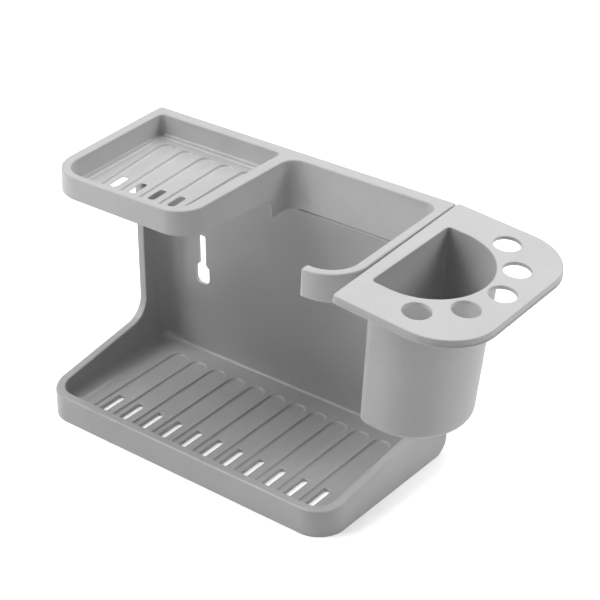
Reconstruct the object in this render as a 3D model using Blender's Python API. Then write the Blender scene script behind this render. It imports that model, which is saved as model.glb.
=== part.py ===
"""A shower rack in three mouldings: a tray stand, an upper shelf and a hanging tool cup.

Metres, +Z up. Sizes are given from the middle of the tray's groove pattern in X, from the wall
plane in Y, with the front towards -Y, and from the table in Z. At the end the whole rack is
moved so that the origin lies on the table, under the middle of the rack's box.
"""
import math

import bmesh
import bpy
from mathutils import Matrix, Vector

MM = 0.001

# Making: how far a cutter runs past the face it opens, the flattening allowed on a round edge,
# and the gap that separate mouldings keep where they touch
OVERCUT = 4.0 * MM
ROUND_SAG = 0.08 * MM
SMALLEST_RADIUS = 0.25 * MM
TOUCH_GAP = 0.3 * MM
SMOOTH_ANGLE = math.radians(35.0)

# Where a round foot fillet gets sections, as shares of its radius, and where a rounded edge does:
# (share of the radius down from the top, share of the radius inwards)
FILLET_SHARES = (0.08, 0.3, 0.6, 1.0)
EDGE_SHARES = ((1.0, 0.0), (0.3, 0.3), (0.0, 1.0))

# Heights shared by the stand and the shelf
SHELF_TOP = 179.0 * MM
SHELF_DEEP_HEIGHT = 34.0 * MM
SHOULDER_HEIGHT = SHELF_TOP - SHELF_DEEP_HEIGHT - TOUCH_GAP

# Stand: plan
STAND_BACK_HALF = 120.0 * MM
STAND_FRONT_HALF = 116.5 * MM
STAND_DEPTH = 127.3 * MM
STAND_CORNER_RADIUS = 19.0 * MM
STAND_WALL = 2.3 * MM
RIM_WIDTH = 6.4 * MM
PANEL_FACE = 6.5 * MM
WING_FILLET = 15.0 * MM

# Stand: side view
RIM_HEIGHT = 19.2 * MM
RIM_RISE_START = STAND_DEPTH - 6.8 * MM
RIM_RISE_RADIUS = 40.0 * MM
WING_DEPTH = 27.7 * MM
WING_ROOT_HEIGHT = 31.6 * MM
WING_ROOT_RADIUS = 16.0 * MM
HEEL_RADIUS = 11.0 * MM

# Stand: tray floor with its grooves and drain slots
FLOOR_HEIGHT = 4.0 * MM
TRAY_SIDE_FILLET = 10.0 * MM
TRAY_BACK_FILLET = 3.0 * MM
TRAY_GROOVES = 11
TRAY_GROOVE_PITCH = 17.3 * MM
TRAY_GROOVE_WIDTH = 13.4 * MM
TRAY_GROOVE_BACK = 19.9 * MM
TRAY_GROOVE_FRONT = STAND_DEPTH - 15.3 * MM
GROOVE_DEPTH = 1.0 * MM
SLOT_WIDTH = 5.0 * MM
SLOT_CORNER = 0.8 * MM
TRAY_SLOT_FRONT = TRAY_GROOVE_FRONT - 3.0 * MM
TRAY_SLOT_BACK = TRAY_SLOT_FRONT - 24.0 * MM

# Stand: keyholes for two wall screws
KEYHOLE_OFFSET = 79.0 * MM
KEYHOLE_NECK = 6.4 * MM
KEYHOLE_HEAD = 12.0 * MM
KEYHOLE_TOP = 96.0 * MM
KEYHOLE_NECK_END = 73.5 * MM
KEYHOLE_SHOULDER = 69.5 * MM
KEYHOLE_BOTTOM = 58.0 * MM
KEYHOLE_TOP_RADIUS = 1.5 * MM
KEYHOLE_BOTTOM_RADIUS = 5.0 * MM

# Stand: plate that carries the shelf
TONGUE_HALF = 113.6 * MM
TONGUE_SINK = 1.5 * MM
TONGUE_RIBS = 4
TONGUE_RIB_WIDTH = 2.0 * MM
WELD_INSET = 0.1 * MM

# Shelf: plan, at the top
SHELF_WALL = 1.8 * MM
SHELF_LEFT_BACK = 116.9 * MM
SHELF_RIGHT_BACK = 117.7 * MM
SHELF_BACK_RADIUS = 1.5 * MM
BACK_BAND = 9.5 * MM
DISH_FRONT_LEFT = (-109.8 * MM, -116.4 * MM)
DISH_FRONT_RIGHT = (0.5 * MM, -113.1 * MM)
DISH_LEFT_RADIUS = 23.0 * MM
DISH_RIGHT_RADIUS = 17.5 * MM
DISH_BACK_FILLET = 11.0 * MM
ARM_BACK_FILLET = 9.5 * MM
ARM_WIDTH = 6.2 * MM
HOOK_CENTRE = (95.9 * MM, -96.7 * MM)
HOOK_INNER_RADIUS = 18.0 * MM
HOOK_SWEEP = math.radians(98.0)
HOOK_TIP_LENGTH = 2.2 * MM
HOOK_TIP_RADIUS = 1.8 * MM

# Shelf: heights
SKIRT_HEIGHT = 15.6 * MM
SHELF_DRAFT = math.radians(2.0)
SHELF_EDGE_RADIUS = 1.2 * MM
DEEP_LENGTH = 35.0 * MM
DEEP_FILLET = 8.0 * MM

# Shelf: soap dish
DISH_SIDE_BAND = 7.0 * MM
DISH_FRONT_BAND = 5.0 * MM
DISH_RIGHT_BAND = 8.5 * MM
DISH_BACK_BAND = 8.7 * MM
DISH_DEPTH = 11.0 * MM
DISH_FLOOR = 2.2 * MM
DISH_DRAFT = math.radians(6.0)
DISH_FILLET = 3.0 * MM
DISH_INNER_BACK_RADIUS = 11.5 * MM
DISH_GROOVES = 5
DISH_GROOVE_FIRST = -83.8 * MM
DISH_GROOVE_PITCH = 17.0 * MM
DISH_GROOVE_WIDTH = 12.0 * MM
DISH_GROOVE_BACK = 27.0 * MM
DISH_GROOVE_FRONT = 106.0 * MM
DISH_GROOVE_FAN = math.radians(4.5)
DISH_SLOT_BACK = 78.5 * MM
DISH_SLOT_FRONT = 101.0 * MM

# Shelf: loops on the arm that take the cup's tongues
LOOP_PLACES = (22.0 * MM, 88.0 * MM)
LOOP_WIDTH = 22.0 * MM
LOOP_WALL = 1.6 * MM
LOOP_SLOT = 4.6 * MM
LOOP_HEIGHT = 9.2 * MM
LOOP_SINK = 0.9 * MM

# Tool cup, in the plane of its flange: X away from the arm, Z down from the flange is negative.
# The loops have some play, so the flange droops away from the arm and dips towards the front.
CUP_HANG = (SHELF_RIGHT_BACK + 0.8 * MM, -TOUCH_GAP, SHELF_TOP + 1.3 * MM)
CUP_DROOP = math.radians(5.3)
CUP_DIP = math.radians(1.0)
FLANGE_REACH = 88.4 * MM
FLANGE_LENGTH = 132.2 * MM
FLANGE_LEFT_BACK = 0.4 * MM
FLANGE_LEFT_FRONT = 3.6 * MM
FLANGE_CORNER_RADIUS = 35.0 * MM
FLANGE_SMALL_RADIUS = 3.0 * MM
FLANGE_THICKNESS = 2.2 * MM
FLANGE_SKIRT = 5.0 * MM
FLANGE_WALL = 2.0 * MM
FLANGE_EDGE_RADIUS = 0.8 * MM
CUP_CENTRE = (22.5 * MM, -FLANGE_LENGTH / 2.0)
CUP_MOUTH_RADIUS = FLANGE_REACH - CUP_CENTRE[0] - 26.8 * MM
CUP_MOUTH_CHORD = 11.3 * MM
CUP_CORNER_RADIUS = 3.0 * MM
CUP_WALL = 1.8 * MM
CUP_DEPTH = 99.2 * MM
CUP_DRAFT = math.radians(1.2)
CUP_BOTTOM_RADIUS = 3.5 * MM
BRUSH_HOLES = 5
BRUSH_HOLE_RADIUS = 8.35 * MM
BRUSH_HOLE_CENTRE = (17.6 * MM, -FLANGE_LENGTH / 2.0)
BRUSH_HOLE_CIRCLE = FLANGE_REACH - BRUSH_HOLE_CENTRE[0] - BRUSH_HOLE_RADIUS - 7.45 * MM
BRUSH_HOLE_SPACING = math.radians(28.9)
BRUSH_HOLE_SIDES = 32
CUP_TONGUE_WIDTH = 15.0 * MM
CUP_TONGUE_THICKNESS = 1.8 * MM
CUP_TONGUE_LENGTH = 14.5 * MM
CUP_TONGUE_OFFSET = 1.75 * MM

# Colour of the plastic, as linear values
PLASTIC = (0.42, 0.425, 0.42, 1.0)
PLASTIC_ROUGHNESS = 0.45


def clear_scene():
    """Start from an empty scene."""
    for thing in list(bpy.data.objects):
        bpy.data.objects.remove(thing, do_unlink=True)


def new_collection(name):
    """A collection linked to the scene."""
    collection = bpy.data.collections.new(name)
    bpy.context.scene.collection.children.link(collection)
    return collection


def new_object(name, mesh, group):
    """Turn a bmesh into an object. Cutters are shown as wires and never rendered."""
    bmesh.ops.recalc_face_normals(mesh, faces=mesh.faces)
    data = bpy.data.meshes.new(name)
    mesh.to_mesh(data)
    mesh.free()
    item = bpy.data.objects.new(name, data)
    group.objects.link(item)
    if group is cutters:
        item.hide_render = True
        item.display_type = "WIRE"
    return item


def arc_steps(turn, radius):
    """How many straight runs a round corner gets."""
    widest = 2.0 * math.acos(1.0 - ROUND_SAG / max(radius, 2.0 * ROUND_SAG))
    return max(2, math.ceil(abs(turn) / widest))


def rounded_outline(corners, insets):
    """Points of a closed outline that runs counter-clockwise through (x, y, radius) corners.

    Edge i leaves corner i and moves inwards by insets[i]. Outer corners get tighter as the
    outline shrinks and inner corners wider, and the number of points stays the same.
    """
    points = []
    for i, (x, y, radius) in enumerate(corners):
        here = Vector((x, y))
        arriving = (here - Vector(corners[i - 1][:2])).normalized()
        leaving = (Vector(corners[(i + 1) % len(corners)][:2]) - here).normalized()
        side_in = Vector((-arriving.y, arriving.x))
        side_out = Vector((-leaving.y, leaving.x))
        inset_in, inset_out = insets[i - 1], insets[i]
        lean = side_in.dot(side_out)
        shift = side_in * (inset_in - inset_out * lean) + side_out * (inset_out - inset_in * lean)
        corner = here + shift / (1.0 - lean * lean)
        turn = math.atan2(arriving.x * leaving.y - arriving.y * leaving.x, arriving.dot(leaving))
        bend = math.copysign(1.0, turn)
        bent = max(radius - bend * 0.5 * (inset_in + inset_out), SMALLEST_RADIUS)
        start = corner - arriving * bent * math.tan(abs(turn) / 2.0)
        centre = start + side_in * bend * bent
        steps = arc_steps(turn, radius)
        for k in range(steps + 1):
            points.append(centre + Matrix.Rotation(turn * k / steps, 2) @ (start - centre))
    return points


def rounded_slot(x, back, front, width, radius, fan=0.0):
    """Outline of a slot along Y, turned by the fan angle about its back end."""
    half = width / 2.0
    length = front - back
    corners = ((-half, 0.0, radius), (-half, -length, radius), (half, -length, radius), (half, 0.0, radius))
    turn = Matrix.Rotation(fan, 2)
    place = Vector((x, -back))
    return [place + turn @ point for point in rounded_outline(corners, (0.0,) * 4)]


def prism(name, outlines, low, high, axis, group):
    """Flat outlines given a thickness along one axis, from low to high."""
    spots = {
        "X": lambda u, v: (low, u, v),
        "Y": lambda u, v: (u, low, v),
        "Z": lambda u, v: (u, v, low),
    }
    mesh = bmesh.new()
    faces = [mesh.faces.new([mesh.verts.new(spots[axis](u, v)) for u, v in outline]) for outline in outlines]
    grown = bmesh.ops.extrude_face_region(mesh, geom=faces)
    risen = [item for item in grown["geom"] if isinstance(item, bmesh.types.BMVert)]
    along = Vector((axis == "X", axis == "Y", axis == "Z"))
    bmesh.ops.translate(mesh, vec=along * (high - low), verts=risen)
    return new_object(name, mesh, group)


def loft(name, sections, group):
    """A closed solid through matching outlines: (points, height) pairs, lowest first."""
    mesh = bmesh.new()
    rings = [[mesh.verts.new((x, y, height)) for x, y in points] for points, height in sections]
    for lower, upper in zip(rings, rings[1:]):
        for k in range(len(lower)):
            mesh.faces.new((lower[k - 1], lower[k], upper[k], upper[k - 1]))
    mesh.faces.new(rings[0])
    mesh.faces.new(rings[-1])
    return new_object(name, mesh, group)


def block(name, low, high, group):
    """A box between two corners."""
    size = Vector(high) - Vector(low)
    middle = (Vector(high) + Vector(low)) / 2.0
    mesh = bmesh.new()
    bmesh.ops.create_cube(mesh, size=1.0, matrix=Matrix.Translation(middle) @ Matrix.Diagonal((*size, 1.0)))
    return new_object(name, mesh, group)


def combine(target, tool, operation):
    """Cut, join or intersect the target with another solid."""
    step = target.modifiers.new(tool.name, "BOOLEAN")
    step.operation = operation
    step.solver = "EXACT"
    step.object = tool


def fillet_inset(rise, radius):
    """How far a round fillet at the foot of a wall stands in from it, at this rise above the floor."""
    below = max(radius - rise, 0.0)
    return radius - math.sqrt(radius * radius - below * below)


def fillet_rises(*radii):
    """The rises at which a wall with these foot fillets gets a section."""
    rises = {0.0}
    for radius in radii:
        rises |= {radius * share for share in FILLET_SHARES}
    return sorted(rises)


def stand_half(depth):
    """Half the stand's width at a distance from the wall; its sides close in towards the front."""
    return STAND_BACK_HALF - (STAND_BACK_HALF - STAND_FRONT_HALF) * depth / STAND_DEPTH


def stand_corners(back_radius, past_wall):
    """Corners of the stand's plan; past_wall carries its open back beyond the wall plane."""
    back = stand_half(-past_wall)
    front = stand_half(STAND_DEPTH)
    return (
        (-back, past_wall, back_radius),
        (-front, -STAND_DEPTH, STAND_CORNER_RADIUS),
        (front, -STAND_DEPTH, STAND_CORNER_RADIUS),
        (back, past_wall, back_radius),
    )


def stand_profile(inset):
    """Side view of the stand, as (y, z) points; inset lowers it to the inside of its wall."""
    past = OVERCUT if inset else 0.0
    ends = HEEL_RADIUS if not inset else SMALLEST_RADIUS
    corners = (
        (past, -past, ends),
        (past, SHOULDER_HEIGHT, SMALLEST_RADIUS),
        (-WING_DEPTH, SHOULDER_HEIGHT, SMALLEST_RADIUS),
        (-WING_DEPTH, WING_ROOT_HEIGHT, WING_ROOT_RADIUS),
        (-RIM_RISE_START, RIM_HEIGHT, RIM_RISE_RADIUS),
        (-STAND_DEPTH - OVERCUT, RIM_HEIGHT, SMALLEST_RADIUS),
        (-STAND_DEPTH - OVERCUT, -past, SMALLEST_RADIUS),
    )
    return rounded_outline(corners, (0.0, inset, inset, inset, inset, 0.0, 0.0))


def tray_sections(outset):
    """Sections of the space inside the stand, or of its skin when outset by the wall."""
    corners = stand_corners(WING_FILLET + RIM_WIDTH, 0.0)
    side_fillet = TRAY_SIDE_FILLET + outset
    back_fillet = TRAY_BACK_FILLET + outset
    bottom = FLOOR_HEIGHT - outset
    sections = []
    for rise in fillet_rises(back_fillet, side_fillet):
        side = RIM_WIDTH - outset + fillet_inset(rise, side_fillet)
        back = PANEL_FACE - outset + fillet_inset(rise, back_fillet)
        sections.append((rounded_outline(corners, (side, side, side, back)), bottom + rise))
    top = SHOULDER_HEIGHT + OVERCUT
    return sections + [(sections[-1][0], top)]


def keyhole(middle):
    """Outline of a keyhole, as (x, z) points: a neck above a wider head."""
    neck = KEYHOLE_NECK / 2.0
    head = KEYHOLE_HEAD / 2.0
    corners = (
        (middle - head, KEYHOLE_BOTTOM, KEYHOLE_BOTTOM_RADIUS),
        (middle + head, KEYHOLE_BOTTOM, KEYHOLE_BOTTOM_RADIUS),
        (middle + head, KEYHOLE_SHOULDER, SMALLEST_RADIUS),
        (middle + neck, KEYHOLE_NECK_END, SMALLEST_RADIUS),
        (middle + neck, KEYHOLE_TOP, KEYHOLE_TOP_RADIUS),
        (middle - neck, KEYHOLE_TOP, KEYHOLE_TOP_RADIUS),
        (middle - neck, KEYHOLE_NECK_END, SMALLEST_RADIUS),
        (middle - head, KEYHOLE_SHOULDER, SMALLEST_RADIUS),
    )
    return rounded_outline(corners, (0.0,) * len(corners))


def make_tongue(stand):
    """The plate above the shoulder that the shelf drops over, with ribs that centre it."""
    top = SHELF_TOP - SHELF_WALL - TOUCH_GAP
    front = -PANEL_FACE + WELD_INSET
    back = -PANEL_FACE + STAND_WALL - WELD_INSET
    foot = SHOULDER_HEIGHT - TONGUE_SINK
    plate = block("tongue_plate", (-TONGUE_HALF, front, foot), (TONGUE_HALF, back, top), cutters)
    combine(stand, plate, "UNION")
    rib_back = -SHELF_WALL - TOUCH_GAP
    for k in range(TONGUE_RIBS):
        x = TONGUE_HALF * (2.0 * (k + 0.5) / TONGUE_RIBS - 1.0)
        low = (x - TONGUE_RIB_WIDTH / 2.0, back - WELD_INSET, foot)
        high = (x + TONGUE_RIB_WIDTH / 2.0, rib_back, top - WELD_INSET)
        combine(stand, block(f"tongue_rib_{k + 1}", low, high, cutters), "UNION")


def make_stand():
    """Lower tray with its folded rim, two wings and the back panel, hollow from below and behind."""
    below, above = -OVERCUT, SHOULDER_HEIGHT + OVERCUT
    wide = stand_half(0.0) + OVERCUT
    plan = rounded_outline(stand_corners(SMALLEST_RADIUS, OVERCUT), (0.0,) * 4)
    stand = prism("stand", [plan], below, above, "Z", parts)
    side_view = prism("stand_side_view", [stand_profile(0.0)], -wide, wide, "X", cutters)
    combine(stand, side_view, "INTERSECT")

    inner_plan = rounded_outline(stand_corners(SMALLEST_RADIUS, OVERCUT), (STAND_WALL,) * 3 + (0.0,))
    hollow = prism("stand_hollow", [inner_plan], below, above, "Z", cutters)
    inner_view = prism("stand_hollow_side_view", [stand_profile(STAND_WALL)], -wide, wide, "X", cutters)
    combine(hollow, inner_view, "INTERSECT")
    combine(hollow, loft("tray_skin", tray_sections(STAND_WALL), cutters), "DIFFERENCE")
    combine(stand, hollow, "DIFFERENCE")
    make_tongue(stand)
    combine(stand, loft("tray_space", tray_sections(0.0), cutters), "DIFFERENCE")

    middle = (TRAY_GROOVES - 1) / 2.0
    places = [(k - middle) * TRAY_GROOVE_PITCH for k in range(TRAY_GROOVES)]
    round_end = TRAY_GROOVE_WIDTH / 2.0 - WELD_INSET
    grooves = [
        rounded_slot(x, TRAY_GROOVE_BACK, TRAY_GROOVE_FRONT, TRAY_GROOVE_WIDTH, round_end) for x in places
    ]
    slots = [rounded_slot(x, TRAY_SLOT_BACK, TRAY_SLOT_FRONT, SLOT_WIDTH, SLOT_CORNER) for x in places]
    groove_floor = FLOOR_HEIGHT - GROOVE_DEPTH
    combine(stand, prism("tray_grooves", grooves, groove_floor, FLOOR_HEIGHT + GROOVE_DEPTH, "Z", cutters),
            "DIFFERENCE")
    combine(stand, prism("tray_slots", slots, below, FLOOR_HEIGHT, "Z", cutters), "DIFFERENCE")
    keyholes = [keyhole(-KEYHOLE_OFFSET), keyhole(KEYHOLE_OFFSET)]
    combine(stand, prism("keyholes", keyholes, -PANEL_FACE - OVERCUT, OVERCUT, "Y", cutters), "DIFFERENCE")
    return stand


def shelf_corners():
    """Corners of the shelf's plan at its top: the dish, the back band, the arm and its hook."""
    hook = Vector(HOOK_CENTRE)
    outer_radius = HOOK_INNER_RADIUS + ARM_WIDTH
    arm_side = (Vector((HOOK_CENTRE[0] + outer_radius, HOOK_CENTRE[1])) - Vector((SHELF_RIGHT_BACK, 0.0)))
    along = arm_side.normalized()
    across = Vector((-along.y, along.x))
    hook_start = math.atan2(across.y, across.x)
    tip_way = Matrix.Rotation(hook_start - HOOK_SWEEP, 2) @ Vector((0.0, -1.0))
    tip_side = Matrix.Rotation(hook_start - HOOK_SWEEP, 2) @ Vector((1.0, 0.0))
    reach = math.tan(HOOK_SWEEP / 2.0)
    inner_corner = hook + across * HOOK_INNER_RADIUS + along * HOOK_INNER_RADIUS * reach
    outer_corner = hook + across * outer_radius + along * outer_radius * reach
    tip_inner = hook + tip_side * HOOK_INNER_RADIUS + tip_way * HOOK_TIP_LENGTH
    tip_outer = hook + tip_side * outer_radius + tip_way * HOOK_TIP_LENGTH
    arm_back = Vector((SHELF_RIGHT_BACK, 0.0)) - across * ARM_WIDTH
    arm_meets = arm_back + along * (BACK_BAND + arm_back.y) / -along.y
    return (
        (-SHELF_LEFT_BACK, 0.0, SHELF_BACK_RADIUS),
        (*DISH_FRONT_LEFT, DISH_LEFT_RADIUS),
        (*DISH_FRONT_RIGHT, DISH_RIGHT_RADIUS),
        (0.0, -BACK_BAND, DISH_BACK_FILLET),
        (*arm_meets, ARM_BACK_FILLET),
        (*inner_corner, HOOK_INNER_RADIUS),
        (*tip_inner, HOOK_TIP_RADIUS),
        (*tip_outer, HOOK_TIP_RADIUS),
        (*outer_corner, outer_radius),
        (SHELF_RIGHT_BACK, 0.0, SHELF_BACK_RADIUS),
    )


def shelf_outline(inset, back_inset):
    """The shelf's plan, moved inwards by inset all round except at its flat back."""
    corners = shelf_corners()
    return rounded_outline(corners, (inset,) * (len(corners) - 1) + (back_inset,))


def shelf_sections(inset, back_inset, low, high):
    """Sections that widen downwards by the draft; the outer body also has a rounded top edge."""
    def widened(height):
        return inset - (SHELF_TOP - height) * math.tan(SHELF_DRAFT)
    if inset:
        levels = ((low, 0.0), (high, 0.0))
    else:
        edge = SHELF_EDGE_RADIUS
        levels = [(low, 0.0)] + [(high - edge * down, edge * bite) for down, bite in EDGE_SHARES]
    return [(shelf_outline(widened(height) + bite, back_inset + bite), height) for height, bite in levels]


def dish_sections(outset):
    """Sections of the soap dish's space, or of its skin when outset by the wall."""
    corners = shelf_corners()[:3] + ((0.0, 0.0, DISH_INNER_BACK_RADIUS),)
    corners = ((*corners[0][:2], DISH_INNER_BACK_RADIUS),) + corners[1:]
    bottom = SHELF_TOP - DISH_DEPTH - (DISH_FLOOR if outset else 0.0)
    fillet = DISH_FILLET + outset
    bands = (DISH_SIDE_BAND, DISH_FRONT_BAND, DISH_RIGHT_BAND, DISH_BACK_BAND)
    rises = fillet_rises(fillet) + [SHELF_TOP + OVERCUT - bottom]
    sections = []
    for rise in rises:
        drawn_in = (SHELF_TOP - bottom - rise) * math.tan(DISH_DRAFT) + fillet_inset(rise, fillet)
        sections.append((rounded_outline(corners, [band - outset + drawn_in for band in bands]), bottom + rise))
    return sections


def flange_edge(distance):
    """How far the flange's straight edge stands off its hinge line, at a distance from the wall."""
    return FLANGE_LEFT_BACK + (FLANGE_LEFT_FRONT - FLANGE_LEFT_BACK) * distance / FLANGE_LENGTH


def loop_top(distance):
    """Height of a loop's upper face, where the drooping flange's skirt comes to rest on it."""
    drop = FLANGE_SKIRT * math.cos(CUP_DROOP)
    lean = (flange_edge(distance) + FLANGE_WALL) * math.sin(CUP_DROOP)
    dip = (distance + LOOP_WIDTH / 2.0) * math.sin(CUP_DIP)
    return CUP_HANG[2] - drop - lean - dip - TOUCH_GAP


def loop_outline(distance):
    """Plan of one loop: a U whose legs are sunk into the arm's outer wall."""
    start = Vector((SHELF_RIGHT_BACK, 0.0))
    end = Vector((HOOK_CENTRE[0] + HOOK_INNER_RADIUS + ARM_WIDTH, HOOK_CENTRE[1]))
    face = start.x + (end.x - start.x) * distance / -end.y
    root = face - LOOP_SINK
    slot_end = face + LOOP_SLOT
    outer = slot_end + LOOP_WALL
    half = LOOP_WIDTH / 2.0
    inner_half = half - LOOP_WALL
    shape = ((root, half), (root, inner_half), (slot_end, inner_half), (slot_end, -inner_half),
             (root, -inner_half), (root, -half), (outer, -half), (outer, half))
    return [Vector((x, y - distance)) for x, y in shape]


def make_shelf():
    """Soap dish, back channel and hook arm, hollow from below."""
    bottom = SHOULDER_HEIGHT + TOUCH_GAP
    wide = SHELF_RIGHT_BACK + OVERCUT + ARM_WIDTH
    shelf = loft("upper_shelf", shelf_sections(0.0, 0.0, bottom - OVERCUT, SHELF_TOP), parts)
    side_view = rounded_outline((
        (OVERCUT, bottom, SMALLEST_RADIUS),
        (OVERCUT, SHELF_TOP + OVERCUT, SMALLEST_RADIUS),
        (-STAND_DEPTH, SHELF_TOP + OVERCUT, SMALLEST_RADIUS),
        (-STAND_DEPTH, SHELF_TOP - SKIRT_HEIGHT, SMALLEST_RADIUS),
        (-DEEP_LENGTH, SHELF_TOP - SKIRT_HEIGHT, DEEP_FILLET),
        (-DEEP_LENGTH, bottom, SMALLEST_RADIUS),
    ), (0.0,) * 6)
    combine(shelf, prism("shelf_side_view", [side_view], -wide, wide, "X", cutters), "INTERSECT")

    ceiling = SHELF_TOP - SHELF_WALL
    sections = shelf_sections(SHELF_WALL, SHELF_WALL, bottom - 2.0 * OVERCUT, ceiling)
    hollow = loft("shelf_hollow", sections, cutters)
    combine(hollow, loft("dish_skin", dish_sections(SHELF_WALL), cutters), "DIFFERENCE")
    wall_low = (-SHELF_LEFT_BACK - OVERCUT, -BACK_BAND, bottom - 3.0 * OVERCUT)
    wall_high = (-DISH_BACK_FILLET, -BACK_BAND + SHELF_WALL, SHELF_TOP - DISH_DEPTH)
    combine(hollow, block("channel_wall", wall_low, wall_high, cutters), "DIFFERENCE")
    combine(shelf, hollow, "DIFFERENCE")
    combine(shelf, loft("dish_space", dish_sections(0.0), cutters), "DIFFERENCE")

    floor = SHELF_TOP - DISH_DEPTH
    spread = [(DISH_GROOVE_FIRST + k * DISH_GROOVE_PITCH, DISH_GROOVE_FAN * (1.0 - k / (DISH_GROOVES - 1)))
              for k in range(DISH_GROOVES)]
    round_end = DISH_GROOVE_WIDTH / 2.0 - WELD_INSET
    grooves = [rounded_slot(x, DISH_GROOVE_BACK, DISH_GROOVE_FRONT, DISH_GROOVE_WIDTH, round_end, fan)
               for x, fan in spread]
    slots = []
    for x, fan in spread:
        along = x + (DISH_SLOT_BACK - DISH_GROOVE_BACK) * math.tan(fan)
        slots.append(rounded_slot(along, DISH_SLOT_BACK, DISH_SLOT_FRONT, SLOT_WIDTH, SLOT_CORNER, fan))
    combine(shelf, prism("dish_grooves", grooves, floor - GROOVE_DEPTH, floor + GROOVE_DEPTH, "Z", cutters),
            "DIFFERENCE")
    combine(shelf, prism("dish_slots", slots, floor - 2.0 * DISH_FLOOR, floor, "Z", cutters), "DIFFERENCE")
    for k, distance in enumerate(LOOP_PLACES):
        top = loop_top(distance)
        loop = prism(f"arm_loop_{k + 1}", [loop_outline(distance)], top - LOOP_HEIGHT, top, "Z", cutters)
        combine(shelf, loop, "UNION")
    return shelf


def flange_outline(inset):
    """The cup's flange: straight along the arm, widely rounded on the far side."""
    corners = (
        (FLANGE_LEFT_BACK, 0.0, FLANGE_SMALL_RADIUS),
        (FLANGE_LEFT_FRONT, -FLANGE_LENGTH, FLANGE_SMALL_RADIUS),
        (FLANGE_REACH, -FLANGE_LENGTH, FLANGE_CORNER_RADIUS),
        (FLANGE_REACH, 0.0, FLANGE_CORNER_RADIUS),
    )
    return rounded_outline(corners, (inset,) * len(corners))


def cup_outline(inset):
    """The D of the cup's mouth: a half round closed by a straight wall beside the arm."""
    x, y = CUP_CENTRE
    half_round = CUP_MOUTH_RADIUS - WELD_INSET
    corners = (
        (CUP_MOUTH_CHORD, y + CUP_MOUTH_RADIUS, CUP_CORNER_RADIUS),
        (CUP_MOUTH_CHORD, y - CUP_MOUTH_RADIUS, CUP_CORNER_RADIUS),
        (x + CUP_MOUTH_RADIUS, y - CUP_MOUTH_RADIUS, half_round),
        (x + CUP_MOUTH_RADIUS, y + CUP_MOUTH_RADIUS, half_round),
    )
    return rounded_outline(corners, (inset,) * len(corners))


def cup_sections(outset, top):
    """Sections of the cup's inside, or of its outside when outset by the wall."""
    bottom = -CUP_DEPTH + CUP_WALL - outset
    fillet = CUP_BOTTOM_RADIUS - CUP_WALL + outset
    sections = []
    for rise in fillet_rises(fillet) + [top - bottom]:
        height = bottom + rise
        drawn_in = -height * math.tan(CUP_DRAFT) + fillet_inset(rise, fillet)
        sections.append((cup_outline(drawn_in - outset), height))
    return sections


def hole_outline(angle):
    """One toothbrush hole, on a circle round the cup."""
    x = BRUSH_HOLE_CENTRE[0] + BRUSH_HOLE_CIRCLE * math.cos(angle)
    y = BRUSH_HOLE_CENTRE[1] + BRUSH_HOLE_CIRCLE * math.sin(angle)
    turns = [math.tau * k / BRUSH_HOLE_SIDES for k in range(BRUSH_HOLE_SIDES)]
    return [(x + BRUSH_HOLE_RADIUS * math.cos(t), y + BRUSH_HOLE_RADIUS * math.sin(t)) for t in turns]


def make_cup():
    """Flange with its skirt, the D-shaped cup, five holes and two tongues that drop into the loops."""
    edge = FLANGE_EDGE_RADIUS
    levels = [(-FLANGE_SKIRT, 0.0)] + [(-edge * down, edge * bite) for down, bite in EDGE_SHARES]
    cup = loft("tool_cup", [(flange_outline(bite), height) for height, bite in levels], parts)
    under = flange_outline(FLANGE_WALL)
    recess = prism("flange_recess", [under], -FLANGE_SKIRT - OVERCUT, -FLANGE_THICKNESS, "Z", cutters)
    combine(cup, recess, "DIFFERENCE")
    combine(cup, loft("cup_body", cup_sections(CUP_WALL, -FLANGE_THICKNESS / 2.0), cutters), "UNION")
    for k, distance in enumerate(LOOP_PLACES):
        near = flange_edge(distance) + CUP_TONGUE_OFFSET
        half = CUP_TONGUE_WIDTH / 2.0
        low = (near, -distance - half, -FLANGE_THICKNESS - CUP_TONGUE_LENGTH)
        high = (near + CUP_TONGUE_THICKNESS, -distance + half, -FLANGE_THICKNESS / 2.0)
        combine(cup, block(f"cup_tongue_{k + 1}", low, high, cutters), "UNION")
    combine(cup, loft("cup_space", cup_sections(0.0, OVERCUT), cutters), "DIFFERENCE")
    middle = (BRUSH_HOLES - 1) / 2.0
    holes = [hole_outline((k - middle) * BRUSH_HOLE_SPACING) for k in range(BRUSH_HOLES)]
    combine(cup, prism("brush_holes", holes, -FLANGE_SKIRT, OVERCUT, "Z", cutters), "DIFFERENCE")
    return cup


def finish_part(item, place, turn, parent):
    """Give a part its material and smooth shading, its place and its parent."""
    material = bpy.data.materials.new(item.name)
    material.use_nodes = True
    shader = material.node_tree.nodes["Principled BSDF"]
    shader.inputs["Base Color"].default_value = PLASTIC
    shader.inputs["Roughness"].default_value = PLASTIC_ROUGHNESS
    item.data.materials.append(material)
    item.data.shade_smooth()
    item.data.set_sharp_from_angle(angle=SMOOTH_ANGLE)
    item.location = place
    item.rotation_euler = turn
    item.parent = parent
    for step in item.modifiers:
        attach_cutters(step.object, item)


def attach_cutters(tool, item):
    """Let a cutter, and what cuts the cutter, move with its part."""
    tool.parent = item
    for step in tool.modifiers:
        attach_cutters(step.object, item)


def centre_on_table(stand, pieces):
    """Move the stand, and all that it carries, over the origin: the box's middle in X and Y."""
    bpy.context.view_layer.update()
    graph = bpy.context.evaluated_depsgraph_get()
    points = []
    for piece in pieces:
        evaluated = piece.evaluated_get(graph)
        points += [evaluated.matrix_world @ vertex.co for vertex in evaluated.data.vertices]
    for axis in range(2):
        values = [point[axis] for point in points]
        stand.location[axis] -= (min(values) + max(values)) / 2.0


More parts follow.
